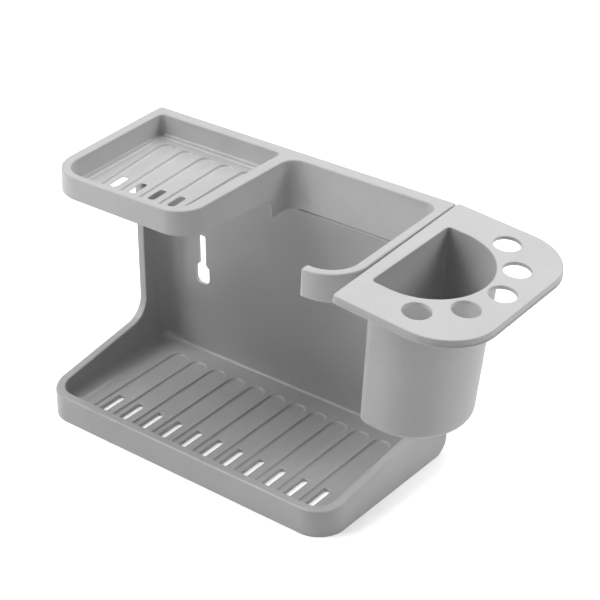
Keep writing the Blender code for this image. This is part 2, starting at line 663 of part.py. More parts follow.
clear_scene()
parts = new_collection("shower_rack")
cutters = new_collection("cutters")
stand_part = make_stand()
shelf_part = make_shelf()
cup_part = make_cup()
finish_part(stand_part, (0.0, 0.0, 0.0), (0.0, 0.0, 0.0), None)
finish_part(shelf_part, (0.0, 0.0, 0.0), (0.0, 0.0, 0.0), stand_part)
finish_part(cup_part, CUP_HANG, (CUP_DIP, CUP_DROOP, 0.0), shelf_part)
centre_on_table(stand_part, (stand_part, shelf_part, cup_part))
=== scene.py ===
import math

import bmesh
import bpy
from mathutils import Matrix, Vector


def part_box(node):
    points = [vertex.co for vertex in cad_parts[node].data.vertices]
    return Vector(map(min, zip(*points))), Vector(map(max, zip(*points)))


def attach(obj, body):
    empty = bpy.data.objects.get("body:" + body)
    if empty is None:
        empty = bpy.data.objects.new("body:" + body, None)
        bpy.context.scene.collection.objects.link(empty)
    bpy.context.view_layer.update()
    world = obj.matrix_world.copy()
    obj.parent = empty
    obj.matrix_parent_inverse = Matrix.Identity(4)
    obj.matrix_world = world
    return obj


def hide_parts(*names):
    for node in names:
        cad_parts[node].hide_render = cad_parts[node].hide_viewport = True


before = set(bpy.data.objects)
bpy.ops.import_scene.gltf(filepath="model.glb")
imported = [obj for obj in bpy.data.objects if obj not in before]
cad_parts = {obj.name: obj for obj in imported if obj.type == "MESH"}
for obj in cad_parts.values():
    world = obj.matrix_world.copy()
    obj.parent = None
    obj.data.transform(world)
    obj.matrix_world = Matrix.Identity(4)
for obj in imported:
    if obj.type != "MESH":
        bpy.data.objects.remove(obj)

MM = 0.001

# Cutters: how far one runs past the face it opens, and how far beside the rack
OVERCUT = 4.0 * MM
SIDE_ROOM = 10.0 * MM

# What counts as one place, as a hair's width, as a doubled point and as off the wall
SAME_PLACE = 0.02 * MM
HAIR = 0.1 * MM
MERGE = 0.001 * MM
OFF_WALL = 0.5 * MM

# What counts as running along an axis, as facing up or down, as a ridge and as one smooth face
STRAIGHT = 0.97
FACING = 0.9
RIDGE_ANGLE = math.radians(40.0)
SMOOTH_ANGLE = math.radians(32.0)

# Steps of a quarter round that is drawn out face by face
QUARTER_STEPS = 5

# The frame: the middle of the stand in X, the wall plane in Y, the table in Z
stand_low, stand_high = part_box("stand")
shelf_low, shelf_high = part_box("upper_shelf")
ZERO = Vector(((stand_low.x + stand_high.x) / 2.0, stand_high.y, 0.0))
STAND_HALF = (stand_high.x - stand_low.x) / 2.0
STAND_DEPTH = stand_high.y - stand_low.y
TONGUE_TOP = stand_high.z
SHELF_TOP = shelf_high.z
SHELF_FOOT = shelf_low.z

# Stand
SHELF_SEAM = 0.3 * MM
STAND_TOP = SHELF_FOOT - SHELF_SEAM
STAND_TAPER = 116.5 / 120.0
STAND_CORNER = 19.0 * MM
STAND_WALL = 2.3 * MM
HEEL_RADIUS = 11.0 * MM
RIM_WIDTH = 6.4 * MM
RIM_HEIGHT = 19.2 * MM
RIM_BEND = 117.0 * MM
RIM_CLIMB = 11.9 * MM
OUTER_RIM_RADIUS = 1.3 * MM
OUTER_RIM_FOOT = 12.0 * MM
INNER_RIM_RADIUS = 1.1 * MM
INNER_RIM_FOOT = 15.0 * MM
INNER_RIM_FRONT = 1.5 * MM
INNER_RIM_SIDE = 3.0 * MM
WING_DEPTH = 27.7 * MM
WING_ROOT_RADIUS = 14.0 * MM
PANEL_FACE = 6.5 * MM
PANEL_CORNER = 15.0 * MM
PANEL_BEND_HEIGHT = 100.0 * MM
PANEL_TOP_FACE = 11.1 * MM
PANEL_TOP_RADIUS = 0.5 * MM
TRAY_FLOOR = 4.0 * MM
TRAY_FOOT_RADIUS = 10.0 * MM
TRAY_FOOT_STEPS = 8
TRAY_BACK_FOOT_RADIUS = 1.8 * MM
TRAY_GROOVES = 11
TRAY_GROOVE_PITCH = 17.3 * MM
TRAY_GROOVE_WIDTH = 13.4 * MM
TRAY_GROOVE_BACK = 19.9 * MM
TRAY_GROOVE_FRONT = 112.0 * MM
TRAY_SLOT_BACK = 83.4 * MM
TRAY_SLOT_FRONT = 105.5 * MM
TRAY_SLOT_SHIFT = 0.4 * MM
TONGUE_HALF = 113.6 * MM
TONGUE_FACE = 6.4 * MM
TONGUE_THICKNESS = 2.1 * MM
TONGUE_ROOT = 1.5 * MM
TONGUE_RIBS = 4
RIB_HALF = 1.0 * MM
RIB_BACK = 2.1 * MM
KEYHOLE_OFFSET = 79.0 * MM
KEYHOLE_HEAD = 12.0 * MM
KEYHOLE_NECK = 6.4 * MM
KEYHOLE_FOOT = 58.0 * MM
KEYHOLE_SHOULDER = 73.5 * MM
KEYHOLE_TOP = 96.0 * MM
KEYHOLE_FOOT_RADIUS = 5.0 * MM
KEYHOLE_SHOULDER_CHAMFER = 2.8 * MM
KEYHOLE_TOP_RADIUS = 1.5 * MM
KEYHOLE_NECK_SINK = 2.0 * MM

# Grooves and slots of both floors
GROOVE_DEPTH = 1.3 * MM
GROOVE_SHOULDERS = ((0.12, 0.1), (0.12, 0.35), (0.25, 0.4), (0.45, 0.35), (0.7, 0.25), (0.8, 0.1))
GROOVE_SINK = 0.02 * MM
GROOVE_END_FLAT = 0.2 * MM
SLOT_WIDTH = 5.2 * MM
SLOT_CORNER = 2.2 * MM
SLOT_LIP = 0.4 * MM
SLOT_BAR = 3.95 * MM

# Shelf: its plan, its hook and its skirt, all measured at its top
SHELF_LEFT = -116.9 * MM
SHELF_RIGHT = 117.7 * MM
SHELF_WALL = 1.8 * MM
SHELF_DRAFT = math.tan(math.radians(2.0))
SHELF_EDGE = 1.2 * MM
BACK_BAND = 9.5 * MM
BACK_CORNER = 1.5 * MM
ARM_WIDTH = 6.2 * MM
ARM_FILLET = 9.5 * MM
DISH_REACH = 100.0 * MM
DISH_FILLET = 11.0 * MM
DISH_LEFT = Vector((-109.8 * MM, -116.4 * MM))
DISH_RIGHT = Vector((0.5 * MM, -113.1 * MM))
DISH_LEFT_RADIUS = 23.0 * MM
DISH_RIGHT_RADIUS = 17.5 * MM
CORNER_REACH = 0.3 * MM
HOOK_CENTRE = Vector((95.9 * MM, -96.7 * MM, 0.0))
HOOK_RADIUS = 18.0 * MM
HOOK_SWEEP = math.radians(94.0)
HOOK_TIP = 2.2 * MM
HOOK_TIP_RADIUS = 1.6 * MM
SKIRT_FOOT = SHELF_TOP - 13.7 * MM
SKIRT_RIGHT_DROP = 3.6 * MM
SKIRT_BACK_DROP = 6.0 * MM
DEEP_LENGTH = 31.0 * MM
DEEP_FILLET = 5.0 * MM
SKIRT_EDGE = 0.45 * MM

# Shelf: the soap dish, with the widths of its left, front, right and back bands
DISH_BANDS = (7.0 * MM, 5.0 * MM, 8.5 * MM, 8.7 * MM)
DISH_DEPTH = 15.0 * MM
DISH_FLOOR = 2.3 * MM
DISH_GROOVE_DEPTH = 1.6 * MM
DISH_DRAFT = math.tan(math.radians(4.0))
DISH_FOOT_RADIUS = 1.5 * MM
DISH_BACK_RADIUS = 4.5 * MM
DISH_LEDGE = 1.6 * MM
DISH_LEDGE_RISE = 1.0 * MM
DISH_LEDGE_FALL = 0.03 * MM
DISH_LEDGE_ROUND = ((0.4, 0.12), (0.4, 0.35), (0.4, 0.35), (0.5, 0.18))
DISH_LIP = 1.0 * MM
DISH_GROOVES = 5
DISH_GROOVE_FIRST = -93.2 * MM
DISH_GROOVE_PITCH = 16.95 * MM
DISH_GROOVE_WIDTH = 12.0 * MM
DISH_GROOVE_BACK = 18.4 * MM
DISH_GROOVE_FRONT = 98.0 * MM
DISH_SLOT_BACK = 70.0 * MM
DISH_SLOT_FRONT = 85.0 * MM
DISH_SLOT_STEP = 0.5 * MM
DISH_FIRST_FAN = math.radians(7.4)
DISH_LAST_FAN = math.radians(2.9)

# Shelf: loops for the cup's tongues, at these distances from the wall
LOOP_PLACES = (22.0 * MM, 88.0 * MM)
LOOP_TOPS = (173.9 * MM, 172.6 * MM)
LOOP_HALF = 11.0 * MM
LOOP_WALL = 1.6 * MM
LOOP_SLOT = 4.6 * MM
LOOP_HEIGHT = 9.2 * MM
LOOP_SINK = 0.9 * MM
LOOP_CORNER = 2.2 * MM

# Tool cup: where its flange hangs, then its sizes in the plane of that flange
CUP_HANG = Vector((SHELF_RIGHT + 0.8 * MM, -0.3 * MM, SHELF_TOP + 1.3 * MM))
CUP_TURN = (math.radians(1.0), math.radians(5.3), 0.0)
FLANGE_REACH = 88.4 * MM
FLANGE_LENGTH = 132.2 * MM
FLANGE_BACK_EDGE = 0.3 * MM
FLANGE_FRONT_EDGE = 3.35 * MM
FLANGE_CORNER = 35.0 * MM
FLANGE_SMALL_CORNER = 3.0 * MM
FLANGE_LEAST_CORNER = 0.5 * MM
FLANGE_SKIRT = 5.0 * MM
FLANGE_THICKNESS = 2.2 * MM
FLANGE_WALL = 2.0 * MM
FLANGE_EDGE = 0.8 * MM
FLANGE_LIP = 1.1 * MM
FLANGE_LIP_REACH = 0.5 * MM
FLANGE_LIP_EDGE = 0.4 * MM
CUP_MIDDLE = -66.1 * MM
CUP_LEFT = 11.3 * MM
CUP_RIGHT = 61.6 * MM
CUP_RADIUS = 39.1 * MM
CUP_ROUND_END_FLAT = 0.4 * MM
CUP_CORNER = 2.8 * MM
CUP_OUTER_CORNER = 6.0 * MM
CUP_WALL = 1.8 * MM
CUP_DEPTH = 99.2 * MM
CUP_DRAFT = math.tan(math.radians(1.2))
CUP_FOOT_RADIUS = 3.5 * MM
CUP_LIP = 0.7 * MM
BRUSH_HOLES = 5
BRUSH_HOLE_RADIUS = 8.35 * MM
BRUSH_HOLE_CENTRE = Vector((17.6 * MM, CUP_MIDDLE, 0.0))
BRUSH_HOLE_CIRCLE = 55.0 * MM
BRUSH_HOLE_SPACING = math.radians(28.9)
BRUSH_HOLE_LIP = 0.4 * MM
CUP_TONGUE_WIDTH = 15.0 * MM
CUP_TONGUE_LENGTH = 14.5 * MM
CUP_TONGUE_THICKNESS = 1.8 * MM
CUP_TONGUE_OFFSET = 1.75 * MM

# Camera, from the same zero
CAMERA_PLACE = Vector((585.78 * MM, -773.09 * MM, 634.02 * MM))
CAMERA_AZIMUTH = math.radians(37.13)
CAMERA_ELEVATION = math.radians(30.17)
CAMERA_ROLL = math.radians(0.352)
CAMERA_LENS = 100.9
CAMERA_FILM = 36.0

# Plastic: each pattern's scale per metre and detail, and the part of it that is spread out
CLOUDS = (28.0, 3.0)
SPECKS = (420.0, 2.0)
GRAIN = (2600.0, 2.0)
WAVES = (60.0, 1.0)
PATTERN_SPAN = (0.3, 0.7)

# Plastic: what clouds and specks do to its shade and roughness, and the relief of grain and waves
CLOUD_SHADE = (0.965, 1.03)
SPECK_SHADE = (0.985, 1.012)
SPECK_ROUGHNESS = (0.92, 1.08)
GRAIN_SHARE = 0.035
BUMP_STRENGTH = 0.5
BUMP_DISTANCE = 0.5 * MM
STAND_GREY = (0.425, 0.429, 0.424, 1.0)
SHELF_GREY = (0.50, 0.503, 0.498, 1.0)
STAND_ROUGHNESS = 0.30
SHELF_ROUGHNESS = 0.40

# Surroundings: their light behind the camera and opposite to it, and where one fades into the other
WHITE = (1.0, 1.0, 1.0, 1.0)
AMBIENT_BEHIND_CAMERA = 0.0
AMBIENT_FACING_CAMERA = 0.05
AMBIENT_FADE = (-0.2, 1.0)

# Floor: its glow near the rack, and the distances between which that rises to white
FLOOR_SIZE = 8.0
FLOOR_DROP = 0.2 * MM
FLOOR_GREY = (0.93, 0.93, 0.93, 1.0)
FLOOR_ROUGHNESS = 0.7
FLOOR_GLOW = 0.38
GLOW_NEAR = 0.3
GLOW_FAR = 0.8

# Lights: what they all point at, and the name, place, size and power of each
LIGHT_TARGET = (0.0, 0.0, 0.1)
SOFTBOXES = (
    ("top_softbox", (-0.6, -0.55, 1.3), (0.8, 0.8), 12.9),
    ("back_softbox", (-0.1, 0.7, 1.1), (0.9, 0.9), 7.4),
    ("key_softbox", (-1.0, -1.1, 0.8), (0.8, 0.8), 5.6),
    ("right_softbox", (1.25, 0.65, 0.85), (0.8, 0.8), 9.2),
)


def nothing_selected():
    """Object mode, with no object selected."""
    if bpy.context.mode != "OBJECT":
        bpy.ops.object.mode_set(mode="OBJECT")
    bpy.ops.object.select_all(action="DESELECT")


def pick(piece, kind, test):
    """Open a piece in edit mode and select the points, edges or faces that pass a test."""
    nothing_selected()
    piece.select_set(True)
    bpy.context.view_layer.objects.active = piece
    bpy.ops.object.mode_set(mode="EDIT")
    bpy.ops.mesh.select_mode(type=kind)
    bpy.ops.mesh.select_all(action="DESELECT")
    mesh = bmesh.from_edit_mesh(piece.data)
    for item in {"VERT": mesh.verts, "EDGE": mesh.edges, "FACE": mesh.faces}[kind]:
        if test(item):
            item.select_set(True)
    mesh.select_flush_mode()
    bmesh.update_edit_mesh(piece.data)


def edit_done():
    """Back to object mode."""
    bpy.ops.object.mode_set(mode="OBJECT")


def middle(item):
    """Mean place of an edge's or a face's points."""
    return sum((vertex.co for vertex in item.verts), Vector()) / len(item.verts)


def near(a, b):
    """Whether two places along an axis are the same."""
    return abs(a - b) < SAME_PLACE


def everything(item):
    """A test that each point, edge or face passes."""
    return True


def faces_up(face):
    """Whether a face looks up."""
    return face.normal.z > FACING


def faces_down(face):
    """Whether a face looks down."""
    return face.normal.z < -FACING


def direction(edge):
    """Which way an edge runs."""
    a, b = (vertex.co for vertex in edge.verts)
    return (b - a).normalized()


def runs_up(edge):
    """Whether an edge stands upright, give or take a draft."""
    return abs(direction(edge).z) > STRAIGHT


def runs_across(edge):
    """Whether an edge runs along X."""
    return abs(direction(edge).x) > STRAIGHT


def runs_through(edge):
    """Whether an edge runs along Y."""
    return abs(direction(edge).y) > STRAIGHT


def ridge(edge):
    """Whether an edge is an outer one with a clear angle."""
    return len(edge.link_faces) == 2 and edge.is_convex and edge.calc_face_angle(0.0) > RIDGE_ANGLE


def block(name, low, high):
    """A cube drawn out between two corners."""
    nothing_selected()
    low, high = Vector(low), Vector(high)
    bpy.ops.mesh.primitive_cube_add(size=1.0, location=(low + high) / 2.0)
    piece = bpy.context.object
    piece.name = name
    piece.scale = high - low
    bpy.ops.object.transform_apply(location=True, rotation=False, scale=True)
    return piece


def round_edges(piece, test, radius, steps):
    """Round the edges that pass a test."""
    pick(piece, "EDGE", test)
    bpy.ops.mesh.bevel(offset=radius, offset_type="OFFSET", segments=steps, affect="EDGES",
                       clamp_overlap=False)
    edit_done()


def round_corner(piece, x, y, radius, steps):
    """Round one corner of a flat outline."""
    pick(piece, "VERT", lambda vertex: (vertex.co.xy - Vector((x, y))).length < CORNER_REACH)
    bpy.ops.mesh.bevel(offset=radius, offset_type="OFFSET", segments=steps, affect="VERTICES",
                       clamp_overlap=False)
    edit_done()


def shift(piece, test, by):
    """Move the points that pass a test."""
    pick(piece, "VERT", test)
    bpy.ops.transform.translate(value=by)
    edit_done()


def extrude(x, y, z):
    """Extrude the selected edges or face by a stride."""
    bpy.ops.mesh.extrude_region_move(TRANSFORM_OT_translate={"value": (x, y, z)})


def combine(piece, tool, operation):
    """Cut or join a piece with another, which is used up."""
    nothing_selected()
    bpy.context.view_layer.objects.active = piece
    step = piece.modifiers.new("combine", "BOOLEAN")
    step.operation = operation
    step.solver = "EXACT"
    step.object = tool
    bpy.ops.object.modifier_apply(modifier=step.name)
    bpy.data.objects.remove(tool)


def repeat(tool, places):
    """Copies of one cutter at (x, y, turn) places, joined into one object."""
    made = []
    for x, y, turn in places:
        copy = tool.copy()
        copy.data = tool.data.copy()
        bpy.context.scene.collection.objects.link(copy)
        copy.location = (x, y, 0.0)
        copy.rotation_euler = (0.0, 0.0, turn)
        made.append(copy)
    bpy.data.objects.remove(tool)
    nothing_selected()
    for copy in made:
        copy.select_set(True)
    bpy.context.view_layer.objects.active = made[0]
    bpy.ops.object.transform_apply(location=True, rotation=True, scale=False)
    bpy.ops.object.join()
    return made[0]


def quarter_turns(steps):
    """Even turns from none to a quarter."""
    return [math.pi / 2.0 * k / steps for k in range(steps + 1)]


def quarter(radius):
    """A quarter round as (inwards, onwards) strides, from upright to level."""
    turns = quarter_turns(QUARTER_STEPS)
    return [
        (radius * (math.cos(a) - math.cos(b)), radius * (math.sin(b) - math.sin(a)))
        for a, b in zip(turns, turns[1:])
    ]


def inset_steps(strides):
    """Inset the selected face again and again by (inwards, onwards) strides."""
    for inwards, onwards in strides:
        bpy.ops.mesh.inset(thickness=inwards, depth=onwards)


def draw_down(piece, strides):
    """Draw a cutter's bottom face down by (inwards, onwards) strides, each about its own middle."""
    pick(piece, "FACE", faces_down)
    points = [vertex.co for vertex in piece.data.vertices]
    low = Vector([min(point[axis] for point in points) for axis in range(2)])
    high = Vector([max(point[axis] for point in points) for axis in range(2)])
    centre, half = (low + high) / 2.0, (high - low) / 2.0
    for inwards, onwards in strides:
        smaller = (1.0 - inwards / half.x, 1.0 - inwards / half.y, 1.0)
        extrude(0.0, 0.0, -onwards)
        bpy.ops.transform.resize(value=smaller, center_override=(*centre, 0.0))
        half -= Vector((inwards, inwards))
    edit_done()


def soft_groove(width, length, floor, depth):
    """Cutter for one groove with soft shoulders, from the origin towards the front."""
    shoulder = sum(inwards for inwards, onwards in GROOVE_SHOULDERS)
    deep = sum(onwards for inwards, onwards in GROOVE_SHOULDERS)
    half = width / 2.0
    groove = block("groove", (-half, -length, floor - GROOVE_SINK), (half, 0.0, floor + shoulder * MM))
    round_edges(groove, runs_up, half - GROOVE_END_FLAT, steps=9)
    pick(groove, "FACE", faces_down)
    inset_steps([(inwards * MM, onwards * depth / deep) for inwards, onwards in GROOVE_SHOULDERS])
    edit_done()
    return groove


def drain_slot(length, low, floor):
    """Cutter for one slot with a broken upper edge, from the origin towards the front."""
    half = SLOT_WIDTH / 2.0
    slot = block("slot", (-half, -length, low), (half, 0.0, floor - SLOT_LIP))
    round_edges(slot, runs_up, SLOT_CORNER, steps=4)
    pick(slot, "FACE", faces_up)
    wider = ((SLOT_WIDTH + 2.0 * SLOT_LIP) / SLOT_WIDTH, (length + 2.0 * SLOT_LIP) / length, 1.0)
    extrude(0.0, 0.0, SLOT_LIP)
    bpy.ops.transform.resize(value=wider, center_override=(0.0, -length / 2.0, 0.0))
    extrude(0.0, 0.0, GROOVE_DEPTH)
    edit_done()
    return slot


def in_front(place):
    """Whether a place lies in the front half of the stand."""
    return place.y < -STAND_DEPTH / 2.0


def front_corner(edge):
    """Whether an edge is an upright one at the stand's front."""
    return runs_up(edge) and in_front(middle(edge))


def back_corner(edge):
    """Whether an edge is an upright one at the stand's back."""
    return runs_up(edge) and not in_front(middle(edge))


def narrow_front(piece, inset):
    """Narrow a block of the stand's width, less an inset at each side, towards its front."""
    half, front_half = STAND_HALF - inset, STAND_HALF * STAND_TAPER - inset
    pick(piece, "VERT", lambda vertex: in_front(vertex.co))
    bpy.ops.transform.resize(value=(front_half / half, 1.0, 1.0), center_override=(0.0, 0.0, 0.0))
    edit_done()


def heel(edge):
    """Whether an edge is the stand's lowest one along the wall."""
    return runs_across(edge) and middle(edge).z < MM and middle(edge).y > -MM


def stand_block(inset):
    """The stand's plan drawn up to its shoulder; with an inset, the inside of its wall."""
    half = STAND_HALF - inset
    past = OVERCUT if inset else 0.0
    solid = block("stand", (-half, -STAND_DEPTH + inset, -past), (half, past, STAND_TOP - inset))
    narrow_front(solid, inset)
    round_edges(solid, front_corner, STAND_CORNER - inset, steps=14)
    if not inset:
        round_edges(solid, heel, HEEL_RADIUS, steps=8)
    return solid


def wing_root(place):
    """Whether a place lies low in the back half of the notch."""
    return not in_front(place) and place.z < STAND_TOP / 2.0


def notch_block(drop):
    """The open space over the tray's rim and in front of the wings; with a drop, its skin too."""
    wide = STAND_HALF + SIDE_ROOM
    low = (-wide, -STAND_DEPTH - 2.0 * OVERCUT, RIM_HEIGHT - drop)
    notch = block("notch", low, (wide, -WING_DEPTH + drop, SHELF_FOOT + 2.0 * OVERCUT))
    pick(notch, "FACE", everything)
    bpy.ops.mesh.bisect(plane_co=(0.0, -RIM_BEND, 0.0), plane_no=(0.0, 1.0, 0.0))
    edit_done()
    shift(notch, lambda vertex: wing_root(vertex.co), (0.0, 0.0, RIM_CLIMB))
    round_edges(notch, lambda edge: runs_across(edge) and wing_root(middle(edge)),
                WING_ROOT_RADIUS + drop, steps=12)
    return notch


def drawn_in(radius, rise):
    """How far a round foot stands in from its wall, at this rise above the floor."""
    below = max(radius - rise, 0.0)
    return radius - math.sqrt(max(radius * radius - below * below, 0.0))


def draw_tray_foot(space, half, back, front, foot, back_foot):
    """Draw the tray's space down to its floor, with a round foot and a tighter one at the panel."""
    pick(space, "FACE", faces_down)
    rises = [foot * (1.0 - math.sin(turn)) for turn in quarter_turns(TRAY_FOOT_STEPS)]
    for last, rise in zip(rises, rises[1:]):
        sides = [drawn_in(foot, value) for value in (last, rise)]
        backs = [drawn_in(back_foot, value) for value in (last, rise)]
        lengths = [back - b - front - s for s, b in zip(sides, backs)]
        shrink = lengths[1] / lengths[0]
        pivot = (front + sides[1] - shrink * (front + sides[0])) / (1.0 - shrink)
        narrow = (half - sides[1]) / (half - sides[0])
        extrude(0.0, 0.0, rise - last)
        bpy.ops.transform.resize(value=(narrow, shrink, 1.0), center_override=(0.0, pivot, 0.0))
    edit_done()


def lean_panel(space, top):
    """Above a bend, lean the panel's face forward to the shelf's channel wall."""
    pick(space, "FACE", everything)
    bpy.ops.mesh.bisect(plane_co=(0.0, 0.0, PANEL_BEND_HEIGHT), plane_no=(0.0, 0.0, 1.0))
    edit_done()
    lean = (PANEL_TOP_FACE - PANEL_FACE) * (top - PANEL_BEND_HEIGHT) / (STAND_TOP - PANEL_BEND_HEIGHT)
    shift(space, lambda vertex: not in_front(vertex.co) and near(vertex.co.z, top), (0.0, -lean, 0.0))


def tray_block(outset):
    """The space inside the stand; with an outset, its skin."""
    side = RIM_WIDTH - outset
    half = STAND_HALF - side
    back, front = -PANEL_FACE + outset, -STAND_DEPTH + side
    foot, back_foot = TRAY_FOOT_RADIUS + outset, TRAY_BACK_FOOT_RADIUS + outset
    floor, top = TRAY_FLOOR - outset, SHELF_FOOT + 2.0 * OVERCUT
    space = block("tray_space", (-half, front, floor + foot), (half, back, top))
    narrow_front(space, side)
    round_edges(space, front_corner, STAND_CORNER - side, steps=12)
    round_edges(space, back_corner, PANEL_CORNER + outset, steps=12)
    draw_tray_foot(space, half, back, front, foot, back_foot)
    lean_panel(space, top)
    return space


def add_tongue(stand):
    """The plate above the shoulder that the shelf drops over, with its ribs."""
    foot = STAND_TOP - TONGUE_ROOT
    back = -TONGUE_FACE + TONGUE_THICKNESS
    plate = block("tongue", (-TONGUE_HALF, -TONGUE_FACE, foot), (TONGUE_HALF, back, TONGUE_TOP))
    combine(stand, plate, "UNION")
    for k in range(TONGUE_RIBS):
        x = TONGUE_HALF * (2.0 * (k + 0.5) / TONGUE_RIBS - 1.0)
        rib = block("rib", (x - RIB_HALF, back - HAIR, foot),
                    (x + RIB_HALF, -RIB_BACK, TONGUE_TOP - HAIR))
        combine(stand, rib, "UNION")


def through_at(height):
    """A test for edges that run along Y at that height."""
    return lambda edge: runs_through(edge) and near(middle(edge).z, height)


def keyhole(x):
    """Cutter for one keyhole: a neck above a wider head."""
    deep = PANEL_FACE + OVERCUT
    half = KEYHOLE_NECK / 2.0
    neck_foot = KEYHOLE_FOOT + KEYHOLE_NECK_SINK
    neck = block("neck", (x - half, -deep, neck_foot), (x + half, OVERCUT, KEYHOLE_TOP))
    round_edges(neck, through_at(KEYHOLE_TOP), KEYHOLE_TOP_RADIUS, steps=4)
    half = KEYHOLE_HEAD / 2.0
    head = block("head", (x - half, -deep, KEYHOLE_FOOT), (x + half, OVERCUT, KEYHOLE_SHOULDER))
    round_edges(head, through_at(KEYHOLE_FOOT), KEYHOLE_FOOT_RADIUS, steps=6)
    round_edges(head, through_at(KEYHOLE_SHOULDER), KEYHOLE_SHOULDER_CHAMFER, steps=1)
    combine(neck, head, "UNION")
    return neck


def outer_rim(edge):
    """Whether an edge is a ridge on the outside of the rim and the wings, off the wall."""
    off_wall = all(vertex.co.y < -OFF_WALL for vertex in edge.verts)
    return ridge(edge) and OUTER_RIM_FOOT < middle(edge).z < STAND_TOP - HAIR and off_wall


def inner_rim(edge):
    """Whether an edge is a ridge between the rim and the tray, up the wings to the shoulder."""
    place = middle(edge)
    return (ridge(edge) and INNER_RIM_FOOT < place.z < STAND_TOP - HAIR
            and -STAND_DEPTH + INNER_RIM_FRONT < place.y < -PANEL_FACE - MM
            and abs(place.x) < STAND_HALF - INNER_RIM_SIDE)


def panel_top(edge):
    """Whether an edge is the upper one of the panel's face and its corners."""
    place = middle(edge)
    return (ridge(edge) and near(place.z, STAND_TOP)
            and -PANEL_TOP_FACE - PANEL_CORNER < place.y < -PANEL_TOP_FACE + HAIR
            and abs(place.x) < STAND_HALF - RIM_WIDTH + HAIR)


def cut_tray_floor(stand):
    """The tray's grooves with a slot in each, and the bar below that gives the slots their depth."""
    bar_half = TRAY_GROOVE_PITCH * TRAY_GROOVES / 2.0
    bar = block("slot_bar", (-bar_half, -TRAY_SLOT_FRONT - MM, TRAY_FLOOR - SLOT_BAR),
                (bar_half, -TRAY_SLOT_BACK + MM, TRAY_FLOOR - MM))
    combine(stand, bar, "UNION")
    rows = [(k - (TRAY_GROOVES - 1) / 2.0) * TRAY_GROOVE_PITCH for k in range(TRAY_GROOVES)]
    length = TRAY_GROOVE_FRONT - TRAY_GROOVE_BACK
    groove = soft_groove(TRAY_GROOVE_WIDTH, length, TRAY_FLOOR, GROOVE_DEPTH)
    places = [(x, -TRAY_GROOVE_BACK, 0.0) for x in rows]
    combine(stand, repeat(groove, places), "DIFFERENCE")
    slot = drain_slot(TRAY_SLOT_FRONT - TRAY_SLOT_BACK, -OVERCUT, TRAY_FLOOR - GROOVE_DEPTH)
    places = [(x + TRAY_SLOT_SHIFT, -TRAY_SLOT_BACK, 0.0) for x in rows]
    combine(stand, repeat(slot, places), "DIFFERENCE")


def make_stand():
    """Lower tray with a folded rim, two wings and the back panel."""
    stand = stand_block(0.0)
    combine(stand, notch_block(0.0), "DIFFERENCE")
    round_edges(stand, outer_rim, OUTER_RIM_RADIUS, steps=4)
    hollow = stand_block(STAND_WALL)
    combine(hollow, notch_block(STAND_WALL), "DIFFERENCE")
    combine(hollow, tray_block(STAND_WALL), "DIFFERENCE")
    combine(stand, hollow, "DIFFERENCE")
    add_tongue(stand)
    combine(stand, tray_block(0.0), "DIFFERENCE")
    round_edges(stand, inner_rim, INNER_RIM_RADIUS, steps=4)
    round_edges(stand, panel_top, PANEL_TOP_RADIUS, steps=3)
    cut_tray_floor(stand)
    for side in (-1.0, 1.0):
        combine(stand, keyhole(side * KEYHOLE_OFFSET), "DIFFERENCE")
    return stand


def dish_front(place):
    """Whether a place lies in the front half of the dish."""
    return place.y < -DISH_REACH / 2.0


def dish_left(place):
    """Whether a place lies in the left half of the dish."""
    return place.x < SHELF_LEFT / 2.0


def shelf_band(grow, height):
    """The back band as one flat face, split where the dish ends and where the arm begins."""
    left, right, band = SHELF_LEFT - grow, SHELF_RIGHT + grow, BACK_BAND + grow
    place = ((left + right) / 2.0, (grow - band) / 2.0, height)
    nothing_selected()
    bpy.ops.mesh.primitive_plane_add(size=1.0, location=place)
    plan = bpy.context.object
    plan.name = "upper_shelf"
    plan.scale = (right - left, band + grow, 1.0)
    bpy.ops.object.transform_apply(location=True, rotation=False, scale=True)
    for x in (grow, SHELF_RIGHT - ARM_WIDTH - grow):
        pick(plan, "FACE", everything)
        bpy.ops.mesh.bisect(plane_co=(x, 0.0, 0.0), plane_no=(1.0, 0.0, 0.0))
    edit_done()
    return plan


def draw_dish(plan, grow, front_left, front_right):
    """Draw the dish's plan out of the band, to its two front corners."""
    left, band = SHELF_LEFT - grow, BACK_BAND + grow
    pick(plan, "EDGE", lambda edge: near(middle(edge).y, -band) and middle(edge).x < 0.0)
    extrude(0.0, -DISH_REACH, 0.0)
    shift(plan, lambda vertex: dish_front(vertex.co) and dish_left(vertex.co),
          (front_left.x - left, front_left.y + band + DISH_REACH, 0.0))
    shift(plan, lambda vertex: dish_front(vertex.co) and not dish_left(vertex.co),
          (front_right.x - grow, front_right.y + band + DISH_REACH, 0.0))


def draw_arm(plan, grow, height):
    """Draw the arm out of the band and spin its end into the hook; gives the corners of its tip."""
    band, inside = BACK_BAND + grow, SHELF_RIGHT - ARM_WIDTH - grow
    pick(plan, "EDGE", lambda edge: near(middle(edge).y, -band) and middle(edge).x > inside)
    extrude(HOOK_CENTRE.x + HOOK_RADIUS - grow - inside, HOOK_CENTRE.y + band, 0.0)
    pick(plan, "EDGE", lambda edge: near(middle(edge).y, HOOK_CENTRE.y)
         and middle(edge).x > HOOK_CENTRE.x)
    centre = HOOK_CENTRE + Vector((0.0, 0.0, height))
    bpy.ops.mesh.spin(steps=18, angle=HOOK_SWEEP, center=centre, axis=(0.0, 0.0, 1.0))
    over = HOOK_SWEEP - math.pi / 2.0
    run = HOOK_TIP + grow
    extrude(-run * math.cos(over), run * math.sin(over), 0.0)
    edit_done()
    return [vertex.co.copy() for vertex in plan.data.vertices if vertex.select]


